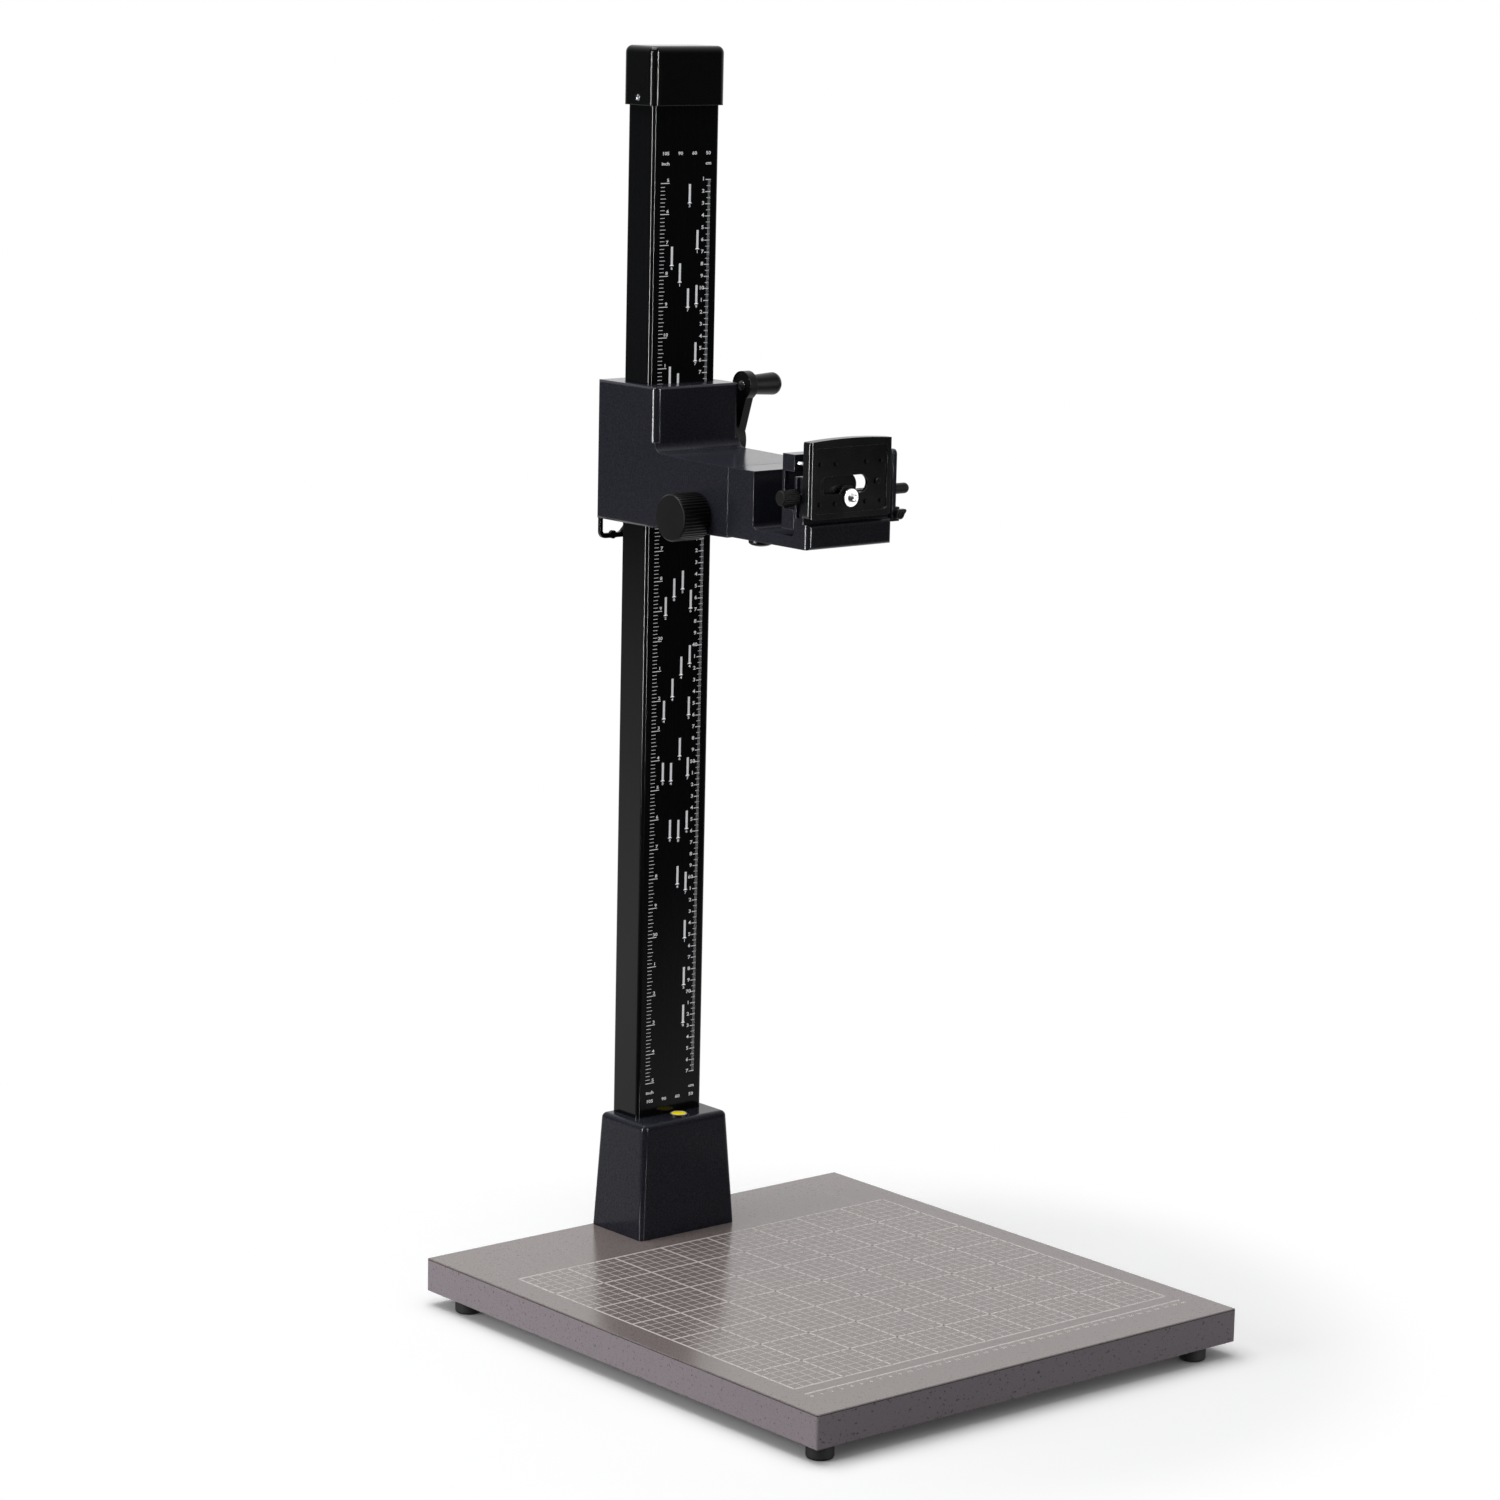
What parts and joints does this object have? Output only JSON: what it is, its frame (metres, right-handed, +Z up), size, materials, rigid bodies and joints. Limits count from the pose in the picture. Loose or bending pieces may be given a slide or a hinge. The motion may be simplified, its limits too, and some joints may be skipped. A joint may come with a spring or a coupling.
{
  "type": "copy stand",
  "caption": "Copy stand: grey baseboard, black scaled column, friction-driven carriage with a crank, tilting arm and cross-sliding camera plate with a quarter-inch stud.",
  "frame": {"origin": "on the floor, at mid-width and at the middle of the whole depth from the board's front edge to the guide cover (9 mm behind the board's centre)", "axes": "+X to the right seen from the front, +Y towards the column at the back, +Z up"},
  "size_m": [0.45, 0.518, 1.0417],
  "materials": {
    "board": "grey melamine, fine speckle",
    "feet": "matt rubber",
    "casting": "dark grey fine-texture powder coat",
    "profile": "black satin anodised",
    "steel": "turned",
    "zinc": "bright zinc",
    "chrome": "polished",
    "spring": "spring steel",
    "knob": "black moulded plastic",
    "roller": "acetal",
    "tyre": "matt rubber",
    "brass": "machined",
    "vial": "clear yellow liquid level",
    "plate": "black satin powder coat",
    "collar": "machined"
  },
  "bodies": {
    "stand": {"baseboard": "board", "rubber_feet": "feet", "foot_screws": "zinc", "column_shoe": "casting", "shoe_bolts": "zinc", "column": "profile", "column_bolts": "zinc", "level_housing": "knob", "level_vial": "vial", "top_cap": "profile", "cap_screws": "zinc", "drum_axle": "steel", "counterbalance_band": "spring"},
    "drum": {"spring_drum": "spring"},
    "carriage": {"carriage_body": "casting", "guide_cover": "casting", "cover_screws": "zinc", "guide_axles": "steel", "front_axle": "steel", "band_hook": "plate", "hook_screws": "zinc", "clamp_collar": "collar", "collar_screws": "zinc", "plunger_bush": "steel", "plunger_spring": "spring"},
    "guide_low": {"guide_roller_low": "roller"},
    "guide_high": {"guide_roller_high": "roller"},
    "front_roll": {"front_roller": "roller"},
    "drive": {"drive_shaft": "steel", "drive_gear": "brass", "drive_roller": "tyre"},
    "crank": {"crank_arm": "knob", "crank_pinion": "steel", "crank_screw": "zinc", "grip_pin": "steel"},
    "grip": {"crank_grip": "knob"},
    "lock": {"lock_screw": "steel", "lock_knob": "knob"},
    "plunger": {"index_plunger": "knob"},
    "head": {"tilt_shaft": "steel", "shaft_pin": "steel", "shaft_screw": "zinc", "bracket": "casting", "slide_rail": "casting", "rail_screws": "zinc"},
    "feed": {"feed_screw": "steel", "feed_knob": "knob"},
    "lever": {"clamp_lever": "knob", "lever_screw": "plate"},
    "plate": {"camera_plate": "plate", "feed_nut": "plate", "plate_bolts": "zinc", "plate_nubs": "tyre", "pin_spring": "spring", "pin_plug": "steel"},
    "screw_seat": {"camera_washer": "chrome"},
    "camera_screw": {"camera_screw": "chrome", "camera_wheel": "knob"},
    "twist_pin": {"anti_twist_pin": "plate"}
  },
  "joints": [
    {"name": "carriage_lift", "type": "slide", "parent": "stand", "child": "carriage", "axis": [0, 0, 1], "range_m": [-0.48, 0.22], "deforming": ["counterbalance_band"]},
    {"name": "drum_spin", "type": "hinge", "parent": "stand", "child": "drum", "pos_m": [0, 0.218, 0.9995], "axis": [1, 0, 0], "continuous": true},
    {"name": "guide_low_spin", "type": "hinge", "parent": "carriage", "child": "guide_low", "pos_m": [0, 0.24315, 0.668], "axis": [1, 0, 0], "continuous": true},
    {"name": "guide_high_spin", "type": "hinge", "parent": "carriage", "child": "guide_high", "pos_m": [0, 0.24315, 0.745], "axis": [1, 0, 0], "continuous": true},
    {"name": "front_roll_spin", "type": "hinge", "parent": "carriage", "child": "front_roll", "pos_m": [0, 0.19335, 0.748], "axis": [1, 0, 0], "continuous": true},
    {"name": "drive_spin", "type": "hinge", "parent": "carriage", "child": "drive", "pos_m": [0, 0.19185, 0.6876], "axis": [1, 0, 0], "continuous": true},
    {"name": "crank_turn", "type": "hinge", "parent": "carriage", "child": "crank", "pos_m": [0, 0.20746, 0.71496], "axis": [1, 0, 0], "continuous": true},
    {"name": "grip_spin", "type": "hinge", "parent": "crank", "child": "grip", "pos_m": [0.06, 0.18395, 0.76191], "axis": [1, 0, 0], "continuous": true},
    {"name": "lock_turn", "type": "hinge", "parent": "carriage", "child": "lock", "pos_m": [-0.05, 0.1237, 0.6656], "axis": [1, 0, 0], "range_deg": [0, 90]},
    {"name": "plunger_engage", "type": "slide", "parent": "carriage", "child": "plunger", "axis": [0, 0, 1], "range_m": [0, 0.0022], "deforming": ["plunger_spring"]},
    {"name": "head_tilt", "type": "hinge", "parent": "carriage", "child": "head", "pos_m": [0, 0.0842, 0.681], "axis": [0, 1, 0], "range_deg": [-90, 90]},
    {"name": "plate_slide", "type": "slide", "parent": "head", "child": "plate", "axis": [1, 0, 0], "range_m": [-0.0041, 0.0099]},
    {"name": "feed_turn", "type": "hinge", "parent": "head", "child": "feed", "pos_m": [0, -0.0028, 0.695], "axis": [1, 0, 0], "continuous": true},
    {"name": "lever_turn", "type": "hinge", "parent": "head", "child": "lever", "pos_m": [0.0546, -0.012, 0.6755], "axis": [0, 1, 0], "range_deg": [0, 75]},
    {"name": "screw_height", "type": "slide", "parent": "plate", "child": "screw_seat", "axis": [0, 0, 1], "range_m": [0, 0.0107]},
    {"name": "screw_turn", "type": "hinge", "parent": "screw_seat", "child": "camera_screw", "pos_m": [-0.0029, -0.0183, 0.6933], "axis": [0, 1, 0], "continuous": true},
    {"name": "twist_pin_push", "type": "slide", "parent": "plate", "child": "twist_pin", "axis": [0, 1, 0], "range_m": [0, 0.0022], "stiffness_N_per_m": 300, "springref_m": -0.002, "deforming": ["pin_spring"]}
  ],
  "couplings": [
    {"joint": "drum_spin", "follows": "carriage_lift", "rad_per_m": 86.957},
    {"joint": "drive_spin", "follows": "carriage_lift", "rad_per_m": -111.11},
    {"joint": "crank_turn", "follows": "carriage_lift", "rad_per_m": 207.07},
    {"joint": "front_roll_spin", "follows": "carriage_lift", "rad_per_m": -133.33},
    {"joint": "guide_low_spin", "follows": "carriage_lift", "rad_per_m": 125},
    {"joint": "guide_high_spin", "follows": "carriage_lift", "rad_per_m": 125},
    {"joint": "feed_turn", "follows": "plate_slide", "rad_per_m": -3141.6}
  ]
}
